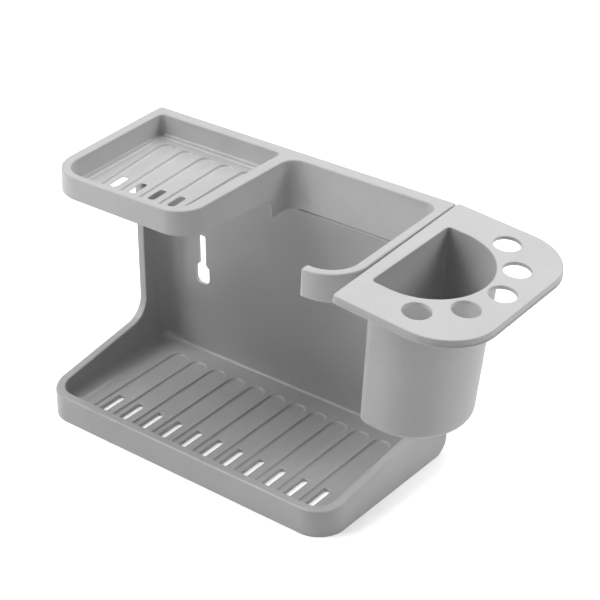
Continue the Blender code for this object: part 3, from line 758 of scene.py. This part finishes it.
def shelf_plan(grow, height):
    """Dish, back band, arm and hook as one flat face, grown outwards all round."""
    left, right, band = SHELF_LEFT - grow, SHELF_RIGHT + grow, BACK_BAND + grow
    front_left = DISH_LEFT + Vector((-grow, -grow))
    front_right = DISH_RIGHT + Vector((grow, -grow))
    plan = shelf_band(grow, height)
    draw_dish(plan, grow, front_left, front_right)
    tips = draw_arm(plan, grow, height)
    pick(plan, "FACE", everything)
    bpy.ops.mesh.dissolve_faces()
    edit_done()
    round_corner(plan, *front_left, DISH_LEFT_RADIUS + grow, steps=14)
    round_corner(plan, *front_right, DISH_RIGHT_RADIUS + grow, steps=12)
    round_corner(plan, grow, -band, DISH_FILLET - grow, steps=10)
    round_corner(plan, SHELF_RIGHT - ARM_WIDTH - grow, -band, ARM_FILLET - grow, steps=10)
    for x in (left, right):
        round_corner(plan, x, grow, BACK_CORNER + grow, steps=5)
    for tip in tips:
        round_corner(plan, *tip.xy, HOOK_TIP_RADIUS + max(grow, 0.0), steps=5)
    return plan


def shelf_block(inset, low, high, rounding):
    """The shelf's plan drawn up with its draft and a rounded upper edge, flat at the wall."""
    body = shelf_plan((SHELF_TOP - low) * SHELF_DRAFT - inset, low)
    height = high - rounding - low
    pick(body, "FACE", everything)
    inset_steps([(height * SHELF_DRAFT, height)] + (quarter(rounding) if rounding else []))
    edit_done()
    pick(body, "EDGE", lambda edge: edge.is_boundary)
    bpy.ops.mesh.edge_face_add()
    edit_done()
    pick(body, "FACE", everything)
    bpy.ops.mesh.normals_make_consistent(inside=False)
    bpy.ops.mesh.bisect(plane_co=(0.0, -inset, 0.0), plane_no=(0.0, 1.0, 0.0), clear_outer=True,
                        use_fill=True, threshold=MERGE)
    edit_done()
    return body


def dish_front_corner(left):
    """A test for the upright edges at the dish's front corner, the left or the right one."""
    return lambda edge: runs_up(edge) and dish_front(middle(edge)) and dish_left(middle(edge)) == left


def dish_outline(outset):
    """The dish's opening over the shelf's top: its bands' widths inside the slanted plan."""
    left_band, front_band, right_band, back_band = DISH_BANDS
    lean = (DISH_LEFT.x - SHELF_LEFT) / -DISH_LEFT.y
    slope = (DISH_RIGHT.y - DISH_LEFT.y) / (DISH_RIGHT.x - DISH_LEFT.x)
    left, right, back = SHELF_LEFT + left_band - outset, -right_band + outset, -back_band + outset
    front_left = DISH_LEFT.y + front_band - outset + slope * (left_band - outset)
    front_right = DISH_RIGHT.y + front_band - outset - slope * (right_band - outset)
    space = block("dish_space", (left, -DISH_REACH, SHELF_TOP), (right, back, SHELF_TOP + OVERCUT))
    shift(space, lambda vertex: dish_front(vertex.co) and dish_left(vertex.co),
          (-front_left * lean, front_left + DISH_REACH, 0.0))
    shift(space, lambda vertex: not dish_front(vertex.co) and dish_left(vertex.co),
          (-back * lean, 0.0, 0.0))
    shift(space, lambda vertex: dish_front(vertex.co) and not dish_left(vertex.co),
          (DISH_RIGHT.x, front_right + DISH_REACH, 0.0))
    round_edges(space, dish_front_corner(left=True),
                DISH_LEFT_RADIUS - (left_band + front_band) / 2.0 + outset, steps=14)
    round_edges(space, dish_front_corner(left=False),
                DISH_RIGHT_RADIUS - (right_band + front_band) / 2.0 + outset, steps=14)
    round_edges(space, lambda edge: runs_up(edge) and not dish_front(middle(edge)),
                DISH_BACK_RADIUS + outset, steps=10)
    return space


def ledge_strides():
    """Inwards over the ledge round the dish's floor, then down its rounded edge."""
    rise = DISH_LEDGE_RISE
    strides = [(inwards * rise, onwards * rise) for inwards, onwards in DISH_LEDGE_ROUND]
    inwards, onwards = strides.pop()
    return [(DISH_LEDGE, DISH_LEDGE_FALL)] + strides + [(inwards, onwards - DISH_LEDGE_FALL)]


def dish_block(outset):
    """The soap dish's space, with a ledge round its floor; with an outset, its skin."""
    space = dish_outline(outset)
    foot = DISH_FOOT_RADIUS + outset
    wall = DISH_DEPTH + (DISH_FLOOR if outset else -DISH_LEDGE_RISE) - foot
    strides = [(wall * DISH_DRAFT, wall)] + quarter(foot)
    draw_down(space, strides if outset else strides + ledge_strides())
    return space


def skirt_edge(edge):
    """Whether an edge is a lower one of the skirt, off the wall."""
    place = middle(edge)
    low = place.z < SKIRT_FOOT + HAIR and place.y < -OFF_WALL
    return ridge(edge) and low and not runs_up(edge)


def trim_skirt(shelf):
    """Cut the skirt off in front of the deep back; its edge slants down to the wall and the right."""
    wide = SHELF_RIGHT + 2.0 * SIDE_ROOM
    cutter = block("skirt_cut", (-wide, -STAND_DEPTH - OVERCUT, SHELF_FOOT - OVERCUT),
                   (wide, -DEEP_LENGTH, SKIRT_FOOT))
    shift(cutter, lambda vertex: near(vertex.co.z, SKIRT_FOOT) and near(vertex.co.y, -DEEP_LENGTH),
          (0.0, 0.0, -SKIRT_BACK_DROP))
    shift(cutter, lambda vertex: vertex.co.z > SHELF_FOOT and vertex.co.x > 0.0,
          (0.0, 0.0, -SKIRT_RIGHT_DROP))
    round_edges(cutter, lambda edge: runs_across(edge) and near(middle(edge).y, -DEEP_LENGTH)
                and middle(edge).z > SHELF_FOOT, DEEP_FILLET, steps=8)
    combine(shelf, cutter, "DIFFERENCE")
    round_edges(shelf, skirt_edge, SKIRT_EDGE, steps=3)


def hollow_shelf(shelf):
    """Hollow the shelf from below, all but the dish's skin and the channel's wall beside it."""
    hollow = shelf_block(SHELF_WALL, SHELF_FOOT - 2.0 * OVERCUT, SHELF_TOP - SHELF_WALL, 0.0)
    combine(hollow, dish_block(SHELF_WALL), "DIFFERENCE")
    low = (SHELF_LEFT - 2.0 * OVERCUT, -BACK_BAND, SHELF_FOOT - 3.0 * OVERCUT)
    wall = block("channel_wall", low, (-DISH_FILLET, -BACK_BAND + SHELF_WALL, SHELF_TOP - DISH_DEPTH))
    combine(hollow, wall, "DIFFERENCE")
    combine(shelf, hollow, "DIFFERENCE")


def cut_dish_floor(shelf):
    """The dish's grooves, which fan out to the front, with a slot in each."""
    floor = SHELF_TOP - DISH_DEPTH
    turn = (DISH_LAST_FAN - DISH_FIRST_FAN) / (DISH_GROOVES - 1)
    fans = [(DISH_GROOVE_FIRST + k * DISH_GROOVE_PITCH, DISH_FIRST_FAN + k * turn)
            for k in range(DISH_GROOVES)]
    length = DISH_GROOVE_FRONT - DISH_GROOVE_BACK
    groove = soft_groove(DISH_GROOVE_WIDTH, length, floor, DISH_GROOVE_DEPTH)
    combine(shelf, repeat(groove, [(x, -DISH_GROOVE_BACK, fan) for x, fan in fans]), "DIFFERENCE")
    length = DISH_SLOT_FRONT - DISH_SLOT_BACK
    slot = drain_slot(length, floor - 2.0 * DISH_FLOOR, floor - DISH_GROOVE_DEPTH)
    places = []
    for k, (x, fan) in enumerate(fans):
        back = DISH_SLOT_BACK - k * DISH_SLOT_STEP
        places.append((x + (back - DISH_GROOVE_BACK) * math.tan(fan), -back, fan))
    combine(shelf, repeat(slot, places), "DIFFERENCE")


def add_loops(shelf):
    """Two U loops on the arm's outer wall, under the flange."""
    arm_lean = (HOOK_CENTRE.x + HOOK_RADIUS + ARM_WIDTH - SHELF_RIGHT) / -HOOK_CENTRE.y
    inside = LOOP_HALF - LOOP_WALL
    for distance, top in zip(LOOP_PLACES, LOOP_TOPS):
        face = SHELF_RIGHT + arm_lean * distance
        outer = face + LOOP_SLOT + LOOP_WALL
        loop = block("loop", (face - LOOP_SINK, -distance - LOOP_HALF, top - LOOP_HEIGHT),
                     (outer, -distance + LOOP_HALF, top))
        round_edges(loop, lambda edge: runs_up(edge) and middle(edge).x > face, LOOP_CORNER, steps=5)
        low = (face - LOOP_SINK - OVERCUT, -distance - inside, top - 2.0 * LOOP_HEIGHT)
        hole = block("loop_hole", low, (face + LOOP_SLOT, -distance + inside, top + OVERCUT))
        combine(loop, hole, "DIFFERENCE")
        combine(shelf, loop, "UNION")


def make_shelf():
    """Soap dish, back channel and hook arm, hollow from below."""
    shelf = shelf_block(0.0, SHELF_FOOT, SHELF_TOP, SHELF_EDGE)
    trim_skirt(shelf)
    hollow_shelf(shelf)
    combine(shelf, dish_block(0.0), "DIFFERENCE")
    round_edges(shelf, lambda edge: ridge(edge) and near(middle(edge).z, SHELF_TOP), DISH_LIP, steps=4)
    cut_dish_floor(shelf)
    add_loops(shelf)
    return shelf


def flange_edge(distance):
    """How far the flange's straight edge stands off its hinge line, at a distance from the wall."""
    return FLANGE_BACK_EDGE + (FLANGE_FRONT_EDGE - FLANGE_BACK_EDGE) * distance / FLANGE_LENGTH


def flange_block(inset, low, high):
    """The flange's plan between two heights."""
    reach = FLANGE_REACH - inset
    half = reach / 2.0
    start = (FLANGE_BACK_EDGE + inset, -FLANGE_LENGTH + inset, low)
    plate = block("tool_cup", start, (reach, -inset, high))
    shift(plate, lambda vertex: vertex.co.y < CUP_MIDDLE and vertex.co.x < half,
          (FLANGE_FRONT_EDGE - FLANGE_BACK_EDGE, 0.0, 0.0))
    round_edges(plate, lambda edge: runs_up(edge) and middle(edge).x < half,
                max(FLANGE_SMALL_CORNER - inset, FLANGE_LEAST_CORNER), steps=6)
    round_edges(plate, lambda edge: runs_up(edge) and middle(edge).x > half,
                FLANGE_CORNER - inset, steps=20)
    return plate


def flange_top(edge):
    """Whether an edge is a ridge on the flange's top."""
    return ridge(edge) and near(middle(edge).z, 0.0)


def add_flange_lip(cup):
    """The thin lip that runs round the foot of the flange's skirt."""
    lip = flange_block(0.0, -FLANGE_SKIRT, -FLANGE_SKIRT + FLANGE_LIP)
    round_edges(lip, lambda edge: ridge(edge) and not runs_up(edge), FLANGE_LIP_EDGE, steps=3)
    combine(cup, lip, "UNION")


def cup_block(outset, top):
    """The D of the cup's inside, drawn down with draft and round foot; with an outset, its outside."""
    bottom = -CUP_DEPTH + CUP_WALL - outset
    foot = CUP_FOOT_RADIUS - CUP_WALL + outset
    wide = CUP_RADIUS + outset - top * CUP_DRAFT
    left, right = CUP_LEFT - outset, CUP_RIGHT + outset
    half_way = (left + right) / 2.0
    corner = CUP_OUTER_CORNER if outset else CUP_CORNER
    cup = block("cup", (left, CUP_MIDDLE - wide, top - MM), (right, CUP_MIDDLE + wide, top))
    round_edges(cup, lambda edge: runs_up(edge) and middle(edge).x < half_way, corner, steps=9)
    round_edges(cup, lambda edge: runs_up(edge) and middle(edge).x > half_way,
                wide - CUP_ROUND_END_FLAT, steps=28)
    wall = top - MM - bottom - foot
    draw_down(cup, [(wall * CUP_DRAFT, wall)] + quarter(foot))
    return cup


def add_cup_tongues(cup):
    """The two tongues under the flange's straight edge, which drop into the loops."""
    half, foot = CUP_TONGUE_WIDTH / 2.0, -FLANGE_THICKNESS - CUP_TONGUE_LENGTH
    for distance in LOOP_PLACES:
        x = flange_edge(distance) + CUP_TONGUE_OFFSET
        tongue = block("tongue", (x, -distance - half, foot),
                       (x + CUP_TONGUE_THICKNESS, -distance + half, -FLANGE_THICKNESS / 2.0))
        combine(cup, tongue, "UNION")


def brush_hole_middles():
    """The middles of the toothbrush holes, on an arc round the cup."""
    turns = [(k - (BRUSH_HOLES - 1) / 2.0) * BRUSH_HOLE_SPACING for k in range(BRUSH_HOLES)]
    return [BRUSH_HOLE_CENTRE + BRUSH_HOLE_CIRCLE * Vector((math.cos(turn), math.sin(turn), 0.0))
            for turn in turns]


def cut_brush_holes(cup):
    """The toothbrush holes, with a broken upper edge."""
    middles = brush_hole_middles()
    nothing_selected()
    bpy.ops.mesh.primitive_cylinder_add(vertices=48, radius=BRUSH_HOLE_RADIUS, depth=4.0 * FLANGE_SKIRT)
    holes = repeat(bpy.context.object, [(place.x, place.y, 0.0) for place in middles])
    combine(cup, holes, "DIFFERENCE")
    reach = BRUSH_HOLE_RADIUS + MM
    round_edges(cup, lambda edge: flange_top(edge)
                and any((middle(edge).xy - place.xy).length < reach for place in middles),
                BRUSH_HOLE_LIP, steps=3)


def make_cup():
    """Flange with its skirt, the D-shaped cup, five holes and two tongues that drop into the loops."""
    cup = flange_block(FLANGE_LIP_REACH, -FLANGE_SKIRT, 0.0)
    round_edges(cup, flange_top, FLANGE_EDGE, steps=4)
    add_flange_lip(cup)
    recess = flange_block(FLANGE_WALL, -FLANGE_SKIRT - OVERCUT, -FLANGE_THICKNESS)
    combine(cup, recess, "DIFFERENCE")
    combine(cup, cup_block(CUP_WALL, -FLANGE_THICKNESS / 2.0), "UNION")
    add_cup_tongues(cup)
    combine(cup, cup_block(0.0, OVERCUT), "DIFFERENCE")
    round_edges(cup, flange_top, CUP_LIP, steps=4)
    cut_brush_holes(cup)
    return cup


def settle(piece, node, place, turn):
    """Finish a piece: its place in its mesh, smooth shading, and the CAD node that it replaces."""
    nothing_selected()
    piece.name = node + "_look"
    piece.location = place
    piece.rotation_euler = turn
    piece.select_set(True)
    bpy.context.view_layer.objects.active = piece
    bpy.ops.object.transform_apply(location=True, rotation=True, scale=False)
    pick(piece, "VERT", everything)
    bpy.ops.mesh.remove_doubles(threshold=MERGE)
    bpy.ops.mesh.normals_make_consistent(inside=False)
    edit_done()
    bpy.ops.object.shade_smooth_by_angle(angle=SMOOTH_ANGLE)
    weigh = piece.modifiers.new("weigh", "WEIGHTED_NORMAL")
    weigh.keep_sharp = True
    bpy.ops.object.modifier_apply(modifier=weigh.name)
    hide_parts(node)
    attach(piece, node)


def noise(nodes, links, place, pattern):
    """A noise pattern, given as its scale per metre and its detail."""
    scale, detail = pattern
    node = nodes.new("ShaderNodeTexNoise")
    node.inputs["Scale"].default_value = scale
    node.inputs["Detail"].default_value = detail
    links.new(place, node.inputs["Vector"])
    return node.outputs["Fac"]


def spread(nodes, links, value, span, result, smooth=False):
    """A value whose span is spread over another one, softly at both ends if smooth."""
    node = nodes.new("ShaderNodeMapRange")
    if smooth:
        node.interpolation_type = "SMOOTHSTEP"
    for name, number in zip(("From Min", "From Max", "To Min", "To Max"), (*span, *result)):
        node.inputs[name].default_value = number
    links.new(value, node.inputs["Value"])
    return node.outputs["Result"]


def reckon(nodes, links, operation, first, second):
    """The sum, the product or the greater one of two values, each a socket or a number."""
    node = nodes.new("ShaderNodeMath")
    node.operation = operation
    for socket, value in zip(node.inputs, (first, second)):
        if isinstance(value, (int, float)):
            socket.default_value = value
        else:
            links.new(value, socket)
    return node.outputs["Value"]


def moulded_surface():
    """What all three mouldings share: cloudy shade, fine spark grain and a slight waviness."""
    group = bpy.data.node_groups.new("moulded_surface", "ShaderNodeTree")
    faces = group.interface
    faces.new_socket("Colour", in_out="INPUT", socket_type="NodeSocketColor")
    faces.new_socket("Roughness", in_out="INPUT", socket_type="NodeSocketFloat")
    faces.new_socket("Colour", in_out="OUTPUT", socket_type="NodeSocketColor")
    faces.new_socket("Roughness", in_out="OUTPUT", socket_type="NodeSocketFloat")
    faces.new_socket("Height", in_out="OUTPUT", socket_type="NodeSocketFloat")
    nodes, links = group.nodes, group.links
    given, made = nodes.new("NodeGroupInput"), nodes.new("NodeGroupOutput")
    place = nodes.new("ShaderNodeTexCoord").outputs["Object"]
    clouds = noise(nodes, links, place, CLOUDS)
    specks = noise(nodes, links, place, SPECKS)
    grain = noise(nodes, links, place, GRAIN)
    waves = noise(nodes, links, place, WAVES)

    shade = reckon(nodes, links, "MULTIPLY", spread(nodes, links, clouds, PATTERN_SPAN, CLOUD_SHADE),
                   spread(nodes, links, specks, PATTERN_SPAN, SPECK_SHADE))
    tint = nodes.new("ShaderNodeVectorMath")
    tint.operation = "SCALE"
    links.new(given.outputs["Colour"], tint.inputs["Vector"])
    links.new(shade, tint.inputs["Scale"])
    links.new(tint.outputs["Vector"], made.inputs["Colour"])
    rough = reckon(nodes, links, "MULTIPLY", given.outputs["Roughness"],
                   spread(nodes, links, specks, PATTERN_SPAN, SPECK_ROUGHNESS))
    links.new(rough, made.inputs["Roughness"])
    height = reckon(nodes, links, "ADD", reckon(nodes, links, "MULTIPLY", grain, GRAIN_SHARE), waves)
    links.new(height, made.inputs["Height"])
    return group


def add_plastic(name, group, colour, roughness):
    """One moulding's plastic."""
    mat = bpy.data.materials.new(name)
    mat.use_nodes = True
    nodes, links = mat.node_tree.nodes, mat.node_tree.links
    shader = nodes["Principled BSDF"]
    surface = nodes.new("ShaderNodeGroup")
    surface.node_tree = group
    surface.inputs["Colour"].default_value = colour
    surface.inputs["Roughness"].default_value = roughness
    bump = nodes.new("ShaderNodeBump")
    bump.inputs["Strength"].default_value = BUMP_STRENGTH
    bump.inputs["Distance"].default_value = BUMP_DISTANCE
    links.new(surface.outputs["Height"], bump.inputs["Height"])
    links.new(surface.outputs["Colour"], shader.inputs["Base Color"])
    links.new(surface.outputs["Roughness"], shader.inputs["Roughness"])
    links.new(bump.outputs["Normal"], shader.inputs["Normal"])
    return mat


def add_camera():
    """The photograph's view."""
    data = bpy.data.cameras.new("camera")
    data.lens = CAMERA_LENS
    data.sensor_width = CAMERA_FILM
    item = bpy.data.objects.new("camera", data)
    bpy.context.scene.collection.objects.link(item)
    tilt = Matrix.Rotation(math.pi / 2 - CAMERA_ELEVATION, 4, "X")
    turn = Matrix.Rotation(CAMERA_AZIMUTH, 4, "Z") @ tilt
    roll = Matrix.Rotation(CAMERA_ROLL, 4, "Z")
    item.matrix_world = Matrix.Translation(ZERO + CAMERA_PLACE) @ turn @ roll
    bpy.context.scene.camera = item


def add_area(name, place, target, size, power):
    """A soft rectangular light."""
    data = bpy.data.lights.new(name, "AREA")
    data.shape = "RECTANGLE"
    data.size, data.size_y = size
    data.energy = power
    item = bpy.data.objects.new(name, data)
    bpy.context.scene.collection.objects.link(item)
    item.location = Vector(place)
    item.rotation_euler = (Vector(target) - Vector(place)).to_track_quat("-Z", "Y").to_euler()


def seen_white(nodes, links):
    """1 for rays that see the background itself: the camera's own and those of a gloss."""
    path = nodes.new("ShaderNodeLightPath").outputs
    return reckon(nodes, links, "MAXIMUM", path["Is Camera Ray"], path["Is Glossy Ray"])


def add_world():
    """Faint surroundings, dark behind the camera; the camera and a gloss see them as white."""
    world = bpy.data.worlds.new("studio")
    bpy.context.scene.world = world
    world.use_nodes = True
    nodes, links = world.node_tree.nodes, world.node_tree.links
    nodes.clear()
    out = nodes.new("ShaderNodeOutputWorld")
    way = nodes.new("ShaderNodeTexCoord")
    towards = nodes.new("ShaderNodeVectorMath")
    towards.operation = "DOT_PRODUCT"
    towards.inputs[1].default_value = CAMERA_PLACE.normalized()
    links.new(way.outputs["Generated"], towards.inputs[0])
    fade = spread(nodes, links, towards.outputs["Value"], AMBIENT_FADE,
                  (AMBIENT_FACING_CAMERA, AMBIENT_BEHIND_CAMERA), smooth=True)
    soft = nodes.new("ShaderNodeBackground")
    soft.inputs["Color"].default_value = WHITE
    links.new(fade, soft.inputs["Strength"])
    white = nodes.new("ShaderNodeBackground")
    white.inputs["Color"].default_value = WHITE
    white.inputs["Strength"].default_value = 1.0
    mix = nodes.new("ShaderNodeMixShader")
    links.new(seen_white(nodes, links), mix.inputs[0])
    links.new(soft.outputs[0], mix.inputs[1])
    links.new(white.outputs[0], mix.inputs[2])
    links.new(mix.outputs[0], out.inputs[0])


def floor_paint():
    """Pale paint whose glow, for the camera and a gloss, rises to white away from the rack."""
    mat = bpy.data.materials.new("pale_floor")
    mat.use_nodes = True
    nodes, links = mat.node_tree.nodes, mat.node_tree.links
    shader = nodes["Principled BSDF"]
    shader.inputs["Base Color"].default_value = FLOOR_GREY
    shader.inputs["Roughness"].default_value = FLOOR_ROUGHNESS
    shader.inputs["Emission Color"].default_value = WHITE
    place = nodes.new("ShaderNodeTexCoord")
    distance = nodes.new("ShaderNodeVectorMath")
    distance.operation = "LENGTH"
    links.new(place.outputs["Object"], distance.inputs[0])
    glow = spread(nodes, links, distance.outputs["Value"], (GLOW_NEAR, GLOW_FAR), (FLOOR_GLOW, 1.0),
                  smooth=True)
    seen = reckon(nodes, links, "MULTIPLY", seen_white(nodes, links), glow)
    links.new(seen, shader.inputs["Emission Strength"])
    return mat


def add_floor():
    """A plain pale floor that keeps the shadow near the rack and reads as white further out."""
    bpy.ops.mesh.primitive_plane_add(size=FLOOR_SIZE, location=(0.0, 0.0, -FLOOR_DROP))
    floor = bpy.context.object
    floor.name = "floor"
    floor.data.materials.append(floor_paint())


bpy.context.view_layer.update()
bpy.context.scene.view_settings.view_transform = "Standard"
add_camera()
add_world()
add_floor()
for name, place, size, power in SOFTBOXES:
    add_area(name, place, LIGHT_TARGET, size, power)
surface = moulded_surface()
for make, node, place, turn, grey, roughness in (
    (make_stand, "stand", ZERO, (0.0, 0.0, 0.0), STAND_GREY, STAND_ROUGHNESS),
    (make_shelf, "upper_shelf", ZERO, (0.0, 0.0, 0.0), SHELF_GREY, SHELF_ROUGHNESS),
    (make_cup, "tool_cup", ZERO + CUP_HANG, CUP_TURN, SHELF_GREY, SHELF_ROUGHNESS),
):
    piece = make()
    piece.data.materials.clear()
    piece.data.materials.append(add_plastic("moulded_" + node, surface, grey, roughness))
    settle(piece, node, place, turn)
